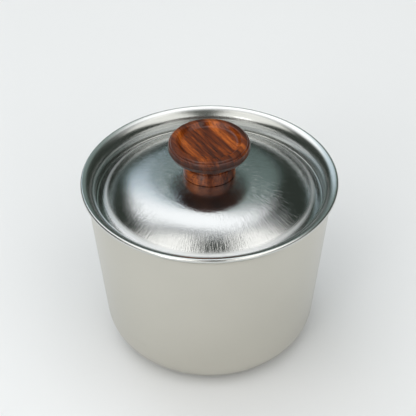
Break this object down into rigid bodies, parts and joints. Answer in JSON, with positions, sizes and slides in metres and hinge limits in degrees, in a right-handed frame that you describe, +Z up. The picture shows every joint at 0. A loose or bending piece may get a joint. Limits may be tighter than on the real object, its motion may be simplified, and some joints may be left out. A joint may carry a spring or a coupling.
{
  "type": "shaving bowl",
  "caption": "Double-walled steel shaving lather bowl with a recessed domed lid and a turned, dished wooden knob.",
  "frame": {"origin": "centre of the bowl's base, on the surface it stands on", "axes": "+Z up along the bowl's axis; X and Y are free because the bowl is round"},
  "size_m": [0.1, 0.1, 0.0912],
  "materials": {
    "shell_steel": "satin, finely brushed round the wall",
    "liner_steel": "semi-bright, lightly brushed",
    "lid_steel": "semi-bright, soft reflections",
    "knob_wood": "striped rosewood colour, satin lacquer",
    "insert_brass": "turned, dull",
    "fixing_steel": "plain bright zinc"
  },
  "bodies": {
    "bowl": {"outer_shell": "shell_steel", "inner_bowl": "liner_steel"},
    "lid_carrier": {"flat_washer": "fixing_steel"},
    "lid": {"lid_shell": "lid_steel", "knob": "knob_wood", "threaded_insert": "insert_brass", "knob_screw": "fixing_steel", "lock_washer": "fixing_steel"}
  },
  "joints": [
    {"name": "lid_lift", "type": "slide", "parent": "bowl", "child": "lid_carrier", "axis": [0, 0, 1], "range_m": [0, 0.04]},
    {"name": "lid_turn", "type": "hinge", "parent": "lid_carrier", "child": "lid", "pos_m": [0, 0, 0.0752], "axis": [0, 0, 1], "continuous": true}
  ]
}
